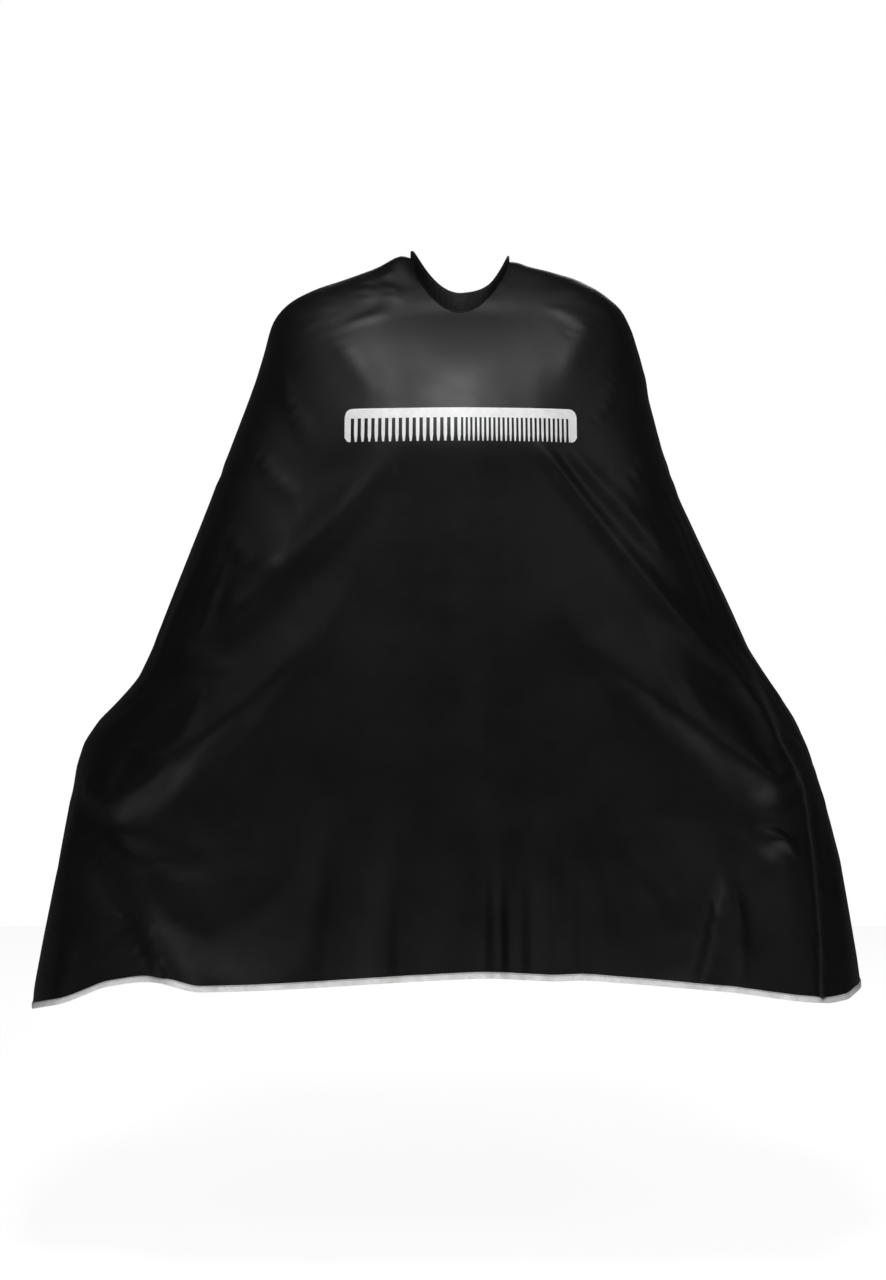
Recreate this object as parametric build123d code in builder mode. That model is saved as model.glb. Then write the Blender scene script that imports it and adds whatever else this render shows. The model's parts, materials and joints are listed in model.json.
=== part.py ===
"""Barber cape, draped as it hangs on a wearer whose arms hold it out to both sides.

One cloth sheet hangs from a stand-up neckband. Its back is slit from the band to the hem, so that the
two back flaps swing out like doors. A tab on the right-hand flap closes the band with two snap fasteners.

Frame: millimetres, +Z up, the wearer faces -Y, +X is the wearer's left hand side.
The origin is on the axis of the neck opening, half way up the neckband.
"""

import os
from math import cos, sin

from build123d import *

# ---- driving dimensions ---------------------------------------------------------------------------
NECK_RADIUS = 64.0  # inner wall of the neckband: a 402 mm neck
CLOTH = 2.0  # stands for the thin polyester cloth
BACK_SLOPE = 0.27  # the back falls 0.27 mm outwards for each mm down

# neckband layers, as radii from the neck axis
LINING_OUT = NECK_RADIUS + 0.8
INTERLINING_IN = NECK_RADIUS + 1.6
BAND_IN = NECK_RADIUS + 2.1
BAND_OUT = NECK_RADIUS + 3.0
NECK_HOLE = BAND_OUT + 0.3
TAB_LINING_IN = NECK_RADIUS + 5.25
TAB_IN = NECK_RADIUS + 5.95
TAB_OUT = NECK_RADIUS + 7.0

# the band's top edge: a parabola across the neck, low at the throat and nape, high at the sides
BAND_DIP = -14.0  # lowest point of the parabola, over the neck axis
BAND_RISE = 60.0  # how much higher the edge is at NECK_RADIUS
BAND_TILT = 0.134  # the edge climbs towards the nape by this much per mm
BAND_WIDTH = 27.0
TACK_LINES = 8  # lines of stitches down the lining that hold the layers together
TACK_WIDTH = 0.6
TACK_DEPTH = 0.3

# hem, seen from the side
HEM_FRONT = -905.0
HEM_CORNER = -955.0
HEM_BACK = -520.0
TAPE = 0.6  # binding tape, one layer
TAPE_WIDTH = 10.0
TAPE_GRIP = 2.0  # the cloth's edge stops this far inside the fold of the tape

# the fold lines about which the back flaps swing
FOLD_TOP = (55.0, 5.0)  # half width and height at the neck
FOLD_BOTTOM = (150.0, -520.0)  # half width and height at the back hem
FOLD_GAP = 3.0
SLIT_GAP = 3.0

# snap fasteners: radii across a fastener, and heights as distances from the neck axis
STUD_ARCS = (14.0, 34.0, 54.0)  # places along the left band, from the slit
TAB_ARCS = STUD_ARCS[:2]  # the studs that the closed tab covers
TAB_ROOT = 2.0  # where the tab starts, just right of the slit
TAB_END = -44.0
TAB_LIFT = 1.5  # clearance between the tab and the cloth below it
FLANGE_RADIUS = 5.0
HEAD_RADIUS = 1.9
SHANK_RADIUS = 1.0
SHANK_HOLE = 1.15
CAP_RADIUS = 6.2
COLLAR_RADIUS = 2.6
COLLAR_HOLE = 2.75
SOCKET_BORE = 2.1
GROOVE_RADIUS = 2.9
SPRING_RADIUS = 2.5
SPRING_WIRE = 0.25

# facing strips behind the slit, care label and hanging loop
FACING_WIDTH = 24.0
FACING = 1.0
LABEL = (24.0, 36.0, 0.6)
LABEL_PLACE = (41.0, -38.0)
LOOP_WIDTH = 8.0
LOOP_LENGTH = 42.0
LOOP_DEPTH = 5.0
LOOP_WALL = 1.0
LOOP_PLACE = (30.0, -36.0)
STAND_OFF = 0.4

# chest print, a plain barber's comb
COMB_WIDTH = 300.0
COMB_HEIGHT = 44.0
COMB_SPINE = 13.0
COMB_CENTRE = -206.0
COMB_FILM = 0.4
COARSE_TEETH = 16
FINE_TEETH = 24

# height, half width, front depth, back depth, corner radius of the cloth's outer form
SECTIONS = (
    (26.0, 72.0, 12.0, 14.0, 10.0),
    (8.0, 152.0, 29.0, 32.0, 26.0),
    (-10.0, 196.0, 44.0, 51.0, 40.0),
    (-31.0, 226.0, 57.5, 67.0, 54.0),
    (-49.0, 238.0, 67.0, 67.0 + 18 * BACK_SLOPE, 62.0),
    (-100.0, 256.0, 98.0, 67.0 + 69 * BACK_SLOPE, 84.0),
    (-225.0, 294.0, 135.0, 67.0 + 194 * BACK_SLOPE, 118.0),
    (-500.0, 408.0, 188.0, 67.0 + 469 * BACK_SLOPE, 165.0),
    (-640.0, 486.0, 222.0, 67.0 + 609 * BACK_SLOPE, 190.0),
    (-1000.0, 560.0, 280.0, 67.0 + 969 * BACK_SLOPE, 230.0),
)
FAR = 700.0  # reach of the cutting tools


# ---- shared forms ---------------------------------------------------------------------------------
def cape_form(inset):
    """The space under the cape as a solid, drawn in by inset on every side."""
    with BuildPart() as form:
        for height, half_width, front, back, corner in SECTIONS:
            with BuildSketch(Plane.XY.offset(height - inset)):
                with Locations((0, (back - front) / 2)):
                    RectangleRounded(
                        2 * (half_width - inset), front + back - 2 * inset, corner - inset
                    )
        loft(ruled=True)
    return form.part


def below_hem(margin):
    """Everything under the hem line, grown upwards by margin."""
    with BuildPart() as tool:
        with BuildSketch(Plane.YZ) as side:
            with BuildLine():
                Polyline(
                    (-FAR, HEM_FRONT),
                    (-170, HEM_FRONT),
                    (-25, HEM_CORNER),
                    (30, HEM_CORNER + 20),
                    (215, HEM_BACK),
                    (FAR, HEM_BACK),
                    (FAR, -2 * FAR),
                    (-FAR, -2 * FAR),
                    close=True,
                )
            make_face()
            bends = side.vertices().filter_by(lambda v: abs(v.Y) < FAR and abs(v.X) < FAR)
            fillet(bends, 26)
            if margin:
                offset(amount=margin)
        extrude(amount=FAR, both=True)
    return tool.part


def above_band():
    """Everything over the neckband's top edge."""
    reach = 1.5 * NECK_RADIUS
    end = BAND_DIP + BAND_RISE * (reach / NECK_RADIUS) ** 2
    with BuildPart() as tool:
        with BuildSketch(Plane.XZ):
            with BuildLine():
                Bezier((-reach, end), (0, 2 * BAND_DIP - end), (reach, end))
                Polyline((reach, end), (reach, FAR), (-reach, FAR), (-reach, end))
            make_face()
        extrude(amount=2 * NECK_RADIUS, dir=(0, 1, BAND_TILT), both=True)
    return tool.part


def fold_x(height):
    """Half width of the back flaps at a height."""
    share = (FOLD_TOP[1] - height) / (FOLD_TOP[1] - FOLD_BOTTOM[1])
    return FOLD_TOP[0] + share * (FOLD_BOTTOM[0] - FOLD_TOP[0])


def back_zone(side, inner, outer):
    """The wedge behind the neck between x = inner and the fold line moved out by outer, on one side."""
    top, bottom = 90.0, -640.0
    with BuildPart() as zone:
        with BuildSketch(Plane.XZ.offset(-20)):
            with BuildLine():
                Polyline(
                    (side * inner, top),
                    (side * (fold_x(top) + outer), top),
                    (side * (fold_x(bottom) + outer), bottom),
                    (side * inner, bottom),
                    close=True,
                )
            make_face()
        extrude(amount=-FAR)
    return zone.part


FORM = cape_form(0)
INSIDE = cape_form(CLOTH)
FACING_INSIDE = cape_form(CLOTH + FACING)
TAPE_OUTSIDE = cape_form(-TAPE)
TAPE_INSIDE = cape_form(CLOTH + TAPE)
FILM_OUTSIDE = cape_form(-COMB_FILM)
HEM_CUT = below_hem(0)
FACING_CUT = below_hem(TAPE_WIDTH + 1)
TAPE_CUT = below_hem(TAPE_WIDTH)
CLOTH_CUT = below_hem(TAPE_GRIP)
BAND_CUT = above_band()
LEFT, RIGHT = -1, 1
SLIT_AND_FLAPS = [back_zone(side, -SLIT_GAP, FOLD_GAP) for side in (LEFT, RIGHT)]
FLAP_ZONE = {side: back_zone(side, SLIT_GAP / 2, 0) for side in (LEFT, RIGHT)}


def finish(builder, name):
    """Labels a finished piece and writes it."""
    builder.part.label = name
    os.makedirs("parts", exist_ok=True)
    export_step(builder.part, f"parts/{name}.step")


def keep(builder_zone):
    """Keeps only what lies in one flap's zone, or, for the front, what lies in neither."""
    if builder_zone is None:
        for zone in SLIT_AND_FLAPS:
            add(zone, mode=Mode.SUBTRACT)
    else:
        add(FLAP_ZONE[builder_zone], mode=Mode.INTERSECT)


# ---- cloth and its binding ------------------------------------------------------------------------
def cloth_panel(zone, name):
    with BuildPart() as panel:
        add(FORM)
        add(INSIDE, mode=Mode.SUBTRACT)
        add(CLOTH_CUT, mode=Mode.SUBTRACT)
        Cylinder(NECK_HOLE, 4 * NECK_RADIUS, mode=Mode.SUBTRACT)
        keep(zone)
    finish(panel, name)
    return panel.part


def hem_binding(zone, panel, name):
    """A tape folded over the cloth's lower edge."""
    with BuildPart() as tape:
        add(TAPE_OUTSIDE)
        add(TAPE_INSIDE, mode=Mode.SUBTRACT)
        add(TAPE_CUT, mode=Mode.INTERSECT)
        add(HEM_CUT, mode=Mode.SUBTRACT)
        keep(zone)
        add(panel, mode=Mode.SUBTRACT)
    finish(tape, name)


def facing_strip(side, name):
    """A strip that stiffens the edge of the slit, on the inside."""
    with BuildPart() as strip:
        add(INSIDE)
        add(FACING_INSIDE, mode=Mode.SUBTRACT)
        add(FACING_CUT, mode=Mode.SUBTRACT)
        Cylinder(NECK_HOLE, 4 * NECK_RADIUS, mode=Mode.SUBTRACT)
        keep(side)
        with Locations((side * FACING_WIDTH / 2, FAR / 2, 0)):
            Box(FACING_WIDTH, FAR, 4 * FAR, mode=Mode.INTERSECT)
    finish(strip, name)


def chest_print():
    """A thin film in the shape of a barber's comb, pressed on the chest."""
    guard = 8.0
    tooth_top = COMB_CENTRE + COMB_HEIGHT / 2 - COMB_SPINE
    tooth_length = COMB_HEIGHT - COMB_SPINE
    half = (COMB_WIDTH - 2 * guard) / 2
    with BuildPart() as film:
        add(FILM_OUTSIDE)
        add(FORM, mode=Mode.SUBTRACT)
        with BuildSketch(Plane.XZ) as comb:
            with Locations((0, tooth_top + COMB_SPINE / 2)):
                Rectangle(COMB_WIDTH, COMB_SPINE)
            for end in (-1, 1):
                with Locations((end * (half + guard / 2), COMB_CENTRE)):
                    Rectangle(guard, COMB_HEIGHT)
            for count, start in ((COARSE_TEETH, -half), (FINE_TEETH, 0)):
                pitch = half / count
                for tooth in range(count):
                    middle = start + (tooth + 0.75) * pitch
                    with Locations((middle, tooth_top - tooth_length / 2)):
                        Rectangle(pitch / 2, tooth_length)
            corners = comb.vertices().group_by(Axis.Y)[-1]
            fillet(corners, COMB_SPINE / 2)
        extrude(amount=FAR, mode=Mode.INTERSECT)
    finish(film, "chest_print")


# ---- neckband and closing tab ---------------------------------------------------------------------
def snap_places(arcs):
    """A place for each snap on the neck axis at mid band height, with local Z pointing out through it."""
    places = []
    for arc in arcs:
        turn = arc / BAND_OUT
        out = Vector(-sin(turn), cos(turn), 0)
        edge = BAND_DIP + BAND_RISE * (out.X * BAND_OUT / NECK_RADIUS) ** 2 + BAND_TILT * out.Y * BAND_OUT
        places.append(Plane(origin=(0, 0, edge - BAND_WIDTH / 2), x_dir=(0, 0, 1), z_dir=out))
    return places


def radial_holes(arcs, radius):
    """Holes outwards from the neck axis through whatever the part being built has there."""
    with Locations(*snap_places(arcs)):
        Cylinder(radius, 2 * NECK_RADIUS, align=(Align.CENTER, Align.CENTER, Align.MIN), mode=Mode.SUBTRACT)


def ring_layer(inner, outer, lift=0.0):
    """One layer of the band all the way round, from the cloth up to the curved top edge."""
    with BuildPart() as ring:
        Cylinder(outer, 4 * NECK_RADIUS)
        Cylinder(inner, 4 * NECK_RADIUS, mode=Mode.SUBTRACT)
        add(BAND_CUT, mode=Mode.SUBTRACT)
        add(FORM.moved(Location((0, 0, lift))), mode=Mode.SUBTRACT)
    return ring.part


def band_layer(zone, inner, outer, name, stud_holes=False, tacked=False):
    ring = ring_layer(inner, outer)
    with BuildPart() as layer:
        add(ring)
        keep(zone)
        if stud_holes:
            radial_holes(STUD_ARCS, SHANK_HOLE)
        if tacked:
            with PolarLocations(inner, TACK_LINES, start_angle=180 / TACK_LINES):
                Box(2 * TACK_DEPTH, TACK_WIDTH, 4 * NECK_RADIUS, mode=Mode.SUBTRACT)
    finish(layer, name)


def tab_layer(inner, outer, hole, name):
    ring = ring_layer(inner, outer, TAB_LIFT)
    with BuildPart() as layer:
        add(ring)
        with Locations(((TAB_ROOT + TAB_END) / 2, NECK_RADIUS, 0)):
            Box(TAB_ROOT - TAB_END, 2 * NECK_RADIUS, 4 * NECK_RADIUS, mode=Mode.INTERSECT)
        radial_holes(TAB_ARCS, hole)
    finish(layer, name)


# ---- snap fasteners -------------------------------------------------------------------------------
def turned(outline):
    """A turned piece from half its outline, as points of radius and height."""
    with BuildPart() as piece:
        with BuildSketch(Plane.XZ):
            with BuildLine():
                Polyline(*outline, close=True)
            make_face()
        revolve(axis=Axis.Z)
    return piece.part


def snaps(piece, arcs, name):
    with BuildPart() as group:
        with Locations(*snap_places(arcs)):
            add(piece)
    finish(group, name)


def stud_post():
    """The stud's back plate and the shank that rivets through the band."""
    plate, top = BAND_IN - 1.1, BAND_IN - 0.7
    rim = FLANGE_RADIUS - 0.8
    shank_end = BAND_OUT + 0.05
    return turned(
        ((0, plate), (rim, plate), (rim, top), (SHANK_RADIUS, top), (SHANK_RADIUS, shank_end), (0, shank_end))
    )


def stud():
    base = BAND_OUT + 0.05
    return turned(
        (
            (0, base),
            (FLANGE_RADIUS, base),
            (FLANGE_RADIUS, base + 0.3),
            (FLANGE_RADIUS - 0.5, base + 0.55),
            (HEAD_RADIUS - 0.3, base + 0.55),
            (HEAD_RADIUS, base + 1.2),
            (HEAD_RADIUS, base + 2.0),
            (HEAD_RADIUS - 0.6, base + 2.5),
            (0, base + 2.5),
        )
    )


def socket():
    """The ring that the stud's head presses into, with a groove for its spring."""
    base = BAND_OUT + 0.85
    return turned(
        (
            (SOCKET_BORE, base),
            (FLANGE_RADIUS, base),
            (FLANGE_RADIUS, base + 1.15),
            (COLLAR_RADIUS, base + 1.15),
            (COLLAR_RADIUS, base + 1.9),
            (SOCKET_BORE, base + 1.9),
            (SOCKET_BORE, base + 1.0),
            (GROOVE_RADIUS, base + 1.0),
            (GROOVE_RADIUS, base + 0.3),
            (SOCKET_BORE, base + 0.3),
        )
    )


def socket_spring():
    with BuildPart() as spring:
        with BuildSketch(Plane.XZ):
            with Locations((SPRING_RADIUS, BAND_OUT + 1.5)):
                Circle(SPRING_WIRE)
        revolve(axis=Axis.Z)
    return spring.part


def cap():
    """The domed outer button with the shank that rivets it through the tab."""
    base, shank_end = TAB_OUT + 0.05, TAB_IN
    with BuildPart() as button:
        with BuildSketch(Plane.XZ):
            with BuildLine():
                ThreePointArc((0, base + 1.1), (0.6 * CAP_RADIUS, base + 0.9), (CAP_RADIUS, base + 0.3))
                Polyline(
                    (CAP_RADIUS, base + 0.3),
                    (CAP_RADIUS - 0.3, base),
                    (SHANK_RADIUS, base),
                    (SHANK_RADIUS, shank_end),
                    (0, shank_end),
                    (0, base + 1.1),
                )
            make_face()
        revolve(axis=Axis.Z)
    return button.part


# ---- hanging loop and care label ------------------------------------------------------------------
def back_surface(height):
    """Where the cloth's outer face is, behind the neck axis, on the flat of the back."""
    nape = SECTIONS[3]
    return nape[3] + BACK_SLOPE * (nape[0] - height)


DOWN_THE_BACK = Vector(0, BACK_SLOPE, -1).normalized()
OUT_OF_THE_BACK = Vector(0, 1, BACK_SLOPE).normalized()


def hanging_loop():
    """A strip of webbing doubled back on itself, sewn on just under the band."""
    across, height = LOOP_PLACE
    side_on = Plane((across, back_surface(height), height), x_dir=DOWN_THE_BACK, z_dir=(1, 0, 0))
    with BuildPart() as loop:
        with BuildSketch(side_on):
            with Locations((LOOP_LENGTH / 2, STAND_OFF + LOOP_DEPTH / 2)):
                SlotOverall(LOOP_LENGTH, LOOP_DEPTH)
                SlotOverall(LOOP_LENGTH - 2 * LOOP_WALL, LOOP_DEPTH - 2 * LOOP_WALL, mode=Mode.SUBTRACT)
        extrude(amount=LOOP_WIDTH / 2, both=True)
    finish(loop, "hanging_loop")


def care_label():
    """A blank woven label sewn inside by its top edge."""
    across, height = LABEL_PLACE
    width, length, thickness = LABEL
    depth = CLOTH * (1 + BACK_SLOPE) * OUT_OF_THE_BACK.Y + STAND_OFF + thickness
    sheet = Plane((across, back_surface(height), height), x_dir=(1, 0, 0), z_dir=OUT_OF_THE_BACK)
    with BuildPart() as label:
        with BuildSketch(sheet.offset(-depth)):
            with Locations((0, length / 2)):
                RectangleRounded(width, length, 1.5)
        extrude(amount=thickness)
    finish(label, "care_label")


# ---- the whole cape -------------------------------------------------------------------------------
for zone, prefix in ((None, "front"), (LEFT, "left_back"), (RIGHT, "right_back")):
    hem_binding(zone, cloth_panel(zone, prefix + "_panel"), prefix + "_hem_binding")
    pierced = zone == LEFT
    band_layer(zone, NECK_RADIUS, LINING_OUT, prefix + "_band_lining", tacked=True)
    band_layer(zone, INTERLINING_IN, BAND_IN, prefix + "_band_interlining", pierced)
    band_layer(zone, BAND_IN, BAND_OUT, prefix + "_band_cover", pierced)

facing_strip(LEFT, "left_slit_facing")
facing_strip(RIGHT, "right_slit_facing")
chest_print()

tab_layer(TAB_LINING_IN, TAB_IN, COLLAR_HOLE, "tab_lining")
tab_layer(TAB_IN, TAB_OUT, SHANK_HOLE, "tab_cover")
snaps(stud_post(), STUD_ARCS, "stud_posts")
snaps(stud(), STUD_ARCS, "snap_studs")
snaps(socket(), TAB_ARCS, "snap_sockets")
snaps(socket_spring(), TAB_ARCS, "socket_springs")
snaps(cap(), TAB_ARCS, "snap_caps")

hanging_loop()
care_label()
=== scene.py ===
import json
import math

import bmesh
import bpy
import numpy as np
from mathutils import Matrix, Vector
from mathutils.bvhtree import BVHTree


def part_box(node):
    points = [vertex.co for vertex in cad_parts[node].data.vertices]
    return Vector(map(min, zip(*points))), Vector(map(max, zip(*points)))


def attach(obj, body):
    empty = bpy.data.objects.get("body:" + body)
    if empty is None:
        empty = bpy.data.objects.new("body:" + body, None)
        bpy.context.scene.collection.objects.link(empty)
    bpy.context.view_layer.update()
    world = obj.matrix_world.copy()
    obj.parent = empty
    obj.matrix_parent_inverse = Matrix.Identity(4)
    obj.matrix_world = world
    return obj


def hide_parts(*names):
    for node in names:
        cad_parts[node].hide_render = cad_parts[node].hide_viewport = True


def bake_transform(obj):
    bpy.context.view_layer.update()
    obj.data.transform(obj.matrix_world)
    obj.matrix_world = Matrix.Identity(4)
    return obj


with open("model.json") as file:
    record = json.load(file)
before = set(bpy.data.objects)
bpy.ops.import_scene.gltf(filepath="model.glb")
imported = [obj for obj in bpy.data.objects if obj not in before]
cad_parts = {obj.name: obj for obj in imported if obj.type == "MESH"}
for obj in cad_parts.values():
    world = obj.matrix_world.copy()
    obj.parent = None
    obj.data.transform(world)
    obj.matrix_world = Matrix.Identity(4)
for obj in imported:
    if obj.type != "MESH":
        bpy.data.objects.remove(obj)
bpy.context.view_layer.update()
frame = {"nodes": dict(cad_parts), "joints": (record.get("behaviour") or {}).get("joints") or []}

NODES = frame["nodes"]

# ---- small tools ------------------------------------------


def ramp(value, start, width):
    """Rises smoothly from 0 to 1 while the value goes from start to start + width."""
    t = np.clip((value - start) / width, 0.0, 1.0)
    return t * t * (3 - 2 * t)


def bell(value, centre, width):
    return np.exp(-(((value - centre) / width) ** 2))


def joined_tree(names):
    """A search tree over several CAD nodes' faces."""
    verts, faces = [], []
    for name in names:
        mesh = NODES[name].data
        first = len(verts)
        verts += [v.co.copy() for v in mesh.vertices]
        faces += [[first + i for i in p.vertices] for p in mesh.polygons]
    return BVHTree.FromPolygons(verts, faces)


def new_object(name, verts, faces, material=None):
    mesh = bpy.data.meshes.new(name)
    mesh.from_pydata(np.asarray(verts, float).reshape(-1, 3).tolist(), [], [list(f) for f in faces])
    mesh.update()
    mesh.polygons.foreach_set("use_smooth", [True] * len(mesh.polygons))
    obj = bpy.data.objects.new(name, mesh)
    bpy.context.scene.collection.objects.link(obj)
    if material is not None:
        mesh.materials.append(material)
    return obj


def grid_faces(columns, rows, closed=False):
    """Quads over a grid of points stored column after column."""
    index = np.arange(columns * rows).reshape(columns, rows)
    if closed:
        index = np.concatenate([index, index[:1]])
    corners = (index[:-1, :-1], index[:-1, 1:], index[1:, 1:], index[1:, :-1])
    return np.stack(corners, -1).reshape(-1, 4)


# ---- the cape's form, read from the frame -----------------
PARTS = {"front": "front", "left": "left_back", "right": "right_back"}  # with their names in the frame
FORM = joined_tree([f"{name}_{layer}" for layer in ("panel", "hem_binding") for name in PARTS.values()])
NECK = -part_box("front_band_cover")[0].x + 0.0005  # radius of the cloth's inner edge
HALF_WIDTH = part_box("front_panel")[1].x
HALF_DEPTH = (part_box("front_panel")[1].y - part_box("front_panel")[0].y) / 2
COLUMNS = 256
ROWS = 76
DOME = 0.16  # share of the rows that lie over the shoulders
WAIST_RAY = -0.07  # height below which rays are level
SLIT_MARGIN = 0.03  # columns this near the slit, in radians, copy their neighbours
NEAR_AXIS = 0.03  # a ray that hits nearer to the axis than this has gone astray
HEM_RANGE = (-1.0, -0.4)  # heights between which the hem lies
FORM_ROUNDS = 14  # how often the form is smoothed


def upright(height):
    return Vector((0, 0, height))


def outward(angle, row):
    """Level direction of a column at a row. Columns fan out faster to the sides than to the front."""
    share = row / ROWS
    wide = NECK + (HALF_WIDTH - NECK) * share**0.8
    deep = NECK + (HALF_DEPTH - NECK) * share
    return Vector((wide * math.sin(angle), -deep * math.cos(angle), 0)).normalized()


def from_outside(origin, direction):
    """Where a ray that comes in along a direction, towards the origin given, first meets the cape."""
    return FORM.ray_cast(origin + 2 * direction, -direction)[0]


def hem_height(direction):
    """The hem's height in a direction, found by halving."""
    low, high = HEM_RANGE
    for _ in range(18):
        middle = (low + high) / 2
        hit = from_outside(upright(middle), direction)
        if hit is None or hit.dot(direction) < 0.05:
            low = middle
        else:
            high = middle
    return high


def form_point(angle, row, hem, neck):
    """Met from above at the neck, along fanned rays over the shoulders and along level rays below."""
    direction = outward(angle, row)
    share = row / ROWS
    if row == 0:
        return FORM.ray_cast(NECK * direction + upright(0.3), upright(-1))[0]
    if share < DOME:
        rise = math.atan2(neck - WAIST_RAY, NECK) * (1 - share / DOME)
        ray = direction * math.cos(rise) + upright(math.sin(rise))
        return from_outside(upright(WAIST_RAY), ray)
    height = WAIST_RAY + (hem - WAIST_RAY) * (share - DOME) / (1 - DOME)
    return from_outside(upright(height), direction)


def form_column(angle):
    """A column's points from neck to hem, not numbers where a ray meets nothing of the outer face."""
    hem = hem_height(outward(angle, ROWS))
    points, neck = [], 0.0
    for row in range(ROWS + 1):
        hit = form_point(angle, row, hem, neck)
        astray = hit is None or (row and hit.x * math.sin(angle) - hit.y * math.cos(angle) < NEAR_AXIS)
        points.append((np.nan,) * 3 if astray else tuple(hit))
        if row == 0 and hit is not None:
            neck = hit.z
    return np.array(points)


def even_angles():
    """Column angles, front to slit on both sides, at even steps along the cloth below the waist."""
    probe = np.linspace(0, math.pi - SLIT_MARGIN, 181)
    row = round(0.7 * ROWS)
    ring = np.array([form_point(a, row, hem_height(outward(a, ROWS)), 0.0) for a in probe])
    length = np.concatenate([[0], np.cumsum(np.linalg.norm(np.diff(ring, axis=0), axis=1))])
    half = np.interp(np.linspace(0, length[-1], COLUMNS // 2 + 1), length, probe)
    half *= math.pi / half[-1]
    return np.concatenate([-half[:0:-1], half])


def read_form():
    """The cape's outer face: columns from the slit round the front to the slit, rows downwards."""
    points = []
    for angle in ANGLES:
        near = max(SLIT_MARGIN - math.pi, min(math.pi - SLIT_MARGIN, angle))
        column = form_column(near)
        if near != angle:
            column[:, 0] *= (math.pi - abs(angle)) / SLIT_MARGIN
        points.append(column)
    points = np.array(points)
    steps = np.arange(COLUMNS + 1)
    for row in range(ROWS + 1):
        for axis in range(3):
            line = points[:, row, axis]
            gap = np.isnan(line)
            line[gap] = np.interp(steps[gap], steps[~gap], line[~gap])
    for _ in range(FORM_ROUNDS):
        middle = (points[:, 1:-2] + points[:, 3:]) / 2
        points[:, 2:-1] += 0.5 * (middle - points[:, 2:-1])
        middle = (points[:-2] + points[2:]) / 2
        points[1:-1] += 0.5 * (middle - points[1:-1])
    return points


def outward_normals(points):
    """Unit normals of a grid of points, away from the middle of the cape."""
    along, down = np.gradient(points, axis=0), np.gradient(points, axis=1)
    normals = np.cross(along, down)
    normals /= np.linalg.norm(normals, axis=2, keepdims=True) + 1e-12
    centre = np.array([0, 0, -0.4])
    return normals if (normals * (points - centre)).sum() > 0 else -normals


# Outlines as seen from the eye, on the upright plane through the neck's axis.
EYE = Vector((-0.023, -2.6, -0.483))
HEART = -0.25  # height of the centre that the shoulders' outline is measured from
FRONT_TURN = 1.6  # both hem corners are nearer to the front than this
FADE_COLUMNS = 22  # columns over which the hem's shift dies out beyond a corner
LEFT_OUTLINE = (
    (0.067, 0.039), (0.074, 0.038), (0.088, 0.034), (0.120, 0.020), (0.156, 0.007), (0.199, -0.007),
    (0.226, -0.021), (0.242, -0.034), (0.252, -0.048), (0.258, -0.061), (0.265, -0.089), (0.277, -0.129),
    (0.287, -0.157), (0.313, -0.225), (0.339, -0.293), (0.393, -0.429), (0.419, -0.497), (0.439, -0.537),
    (0.464, -0.565), (0.490, -0.592), (0.509, -0.619), (0.518, -0.646), (0.530, -0.701), (0.545, -0.782),
    (0.567, -0.891), (0.583, -0.977),
)
RIGHT_OUTLINE = (
    (0.067, 0.032), (0.075, 0.028), (0.114, 0.020), (0.159, 0.007), (0.186, -0.007), (0.205, -0.021),
    (0.219, -0.034), (0.227, -0.048), (0.233, -0.061), (0.242, -0.089), (0.253, -0.129), (0.257, -0.157),
    (0.275, -0.225), (0.299, -0.293), (0.363, -0.429), (0.394, -0.497), (0.420, -0.537), (0.439, -0.565),
    (0.456, -0.592), (0.468, -0.619), (0.479, -0.646), (0.496, -0.701), (0.517, -0.782), (0.536, -0.891),
    (0.545, -0.945),
)
HEM_LINE = (
    (-0.583, -0.983), (-0.541, -0.976), (-0.515, -0.965), (-0.490, -0.954), (-0.445, -0.946),
    (-0.421, -0.948), (-0.401, -0.953), (-0.378, -0.961), (-0.299, -0.959), (-0.218, -0.955),
    (-0.082, -0.947), (0.000, -0.943), (0.027, -0.942), (0.054, -0.942), (0.136, -0.946),
    (0.180, -0.944), (0.272, -0.951), (0.326, -0.956), (0.381, -0.961), (0.462, -0.973),
    (0.503, -0.976), (0.530, -0.970), (0.545, -0.956),
)


def seen(points):
    """Where points stand on the outlines' plane, and the scale there."""
    scale = -EYE.y / (points[..., 1] - EYE.y)
    return EYE.x + (points[..., 0] - EYE.x) * scale, EYE.z + (points[..., 2] - EYE.z) * scale, scale


def widest(place, reach, side, steps):
    """The greatest reach of one side's columns at each step."""
    found = np.zeros(len(steps))
    for spots, lengths, keep in zip(place, reach, side):
        if keep.sum() > 2:
            order = np.argsort(spots[keep])
            column = np.interp(steps, spots[keep][order], lengths[keep][order], left=0, right=0)
            found = np.maximum(found, column)
    missing = found == 0
    found[missing] = np.interp(steps[missing], steps[~missing], found[~missing])
    padded = np.pad(found, 1, mode="edge")
    return np.convolve(padded, np.array([1, 2, 1]) / 4, "valid")


def hem_fitted(points):
    """Moves the front hem up or down to its line, carrying the cloth above it along."""
    x, z, scale = (part[:, -1] for part in seen(points))
    front = np.abs(ANGLES) < FRONT_TURN
    left = int(np.argmin(np.where(front & (x < 0), x + 0.7 * z, 9)))
    right = int(np.argmax(np.where(front & (x > 0), x - 0.7 * z, -9)))
    line = np.array(HEM_LINE)
    across = np.where(x < 0, x / x[left] * line[0, 0], x / x[right] * line[-1, 0])
    shift = (np.interp(across, line[:, 0], line[:, 1]) - z) / scale
    steps = np.arange(len(x))
    for corner, beyond in ((left, steps < left), (right, steps > right)):
        shift[beyond] = shift[corner] * (1 - ramp(np.abs(steps[beyond] - corner), 0, FADE_COLUMNS))
    points = points.copy()
    points[..., 2] += shift[:, None] * ramp(DOWN, 0.55, 0.45)
    return points


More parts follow.
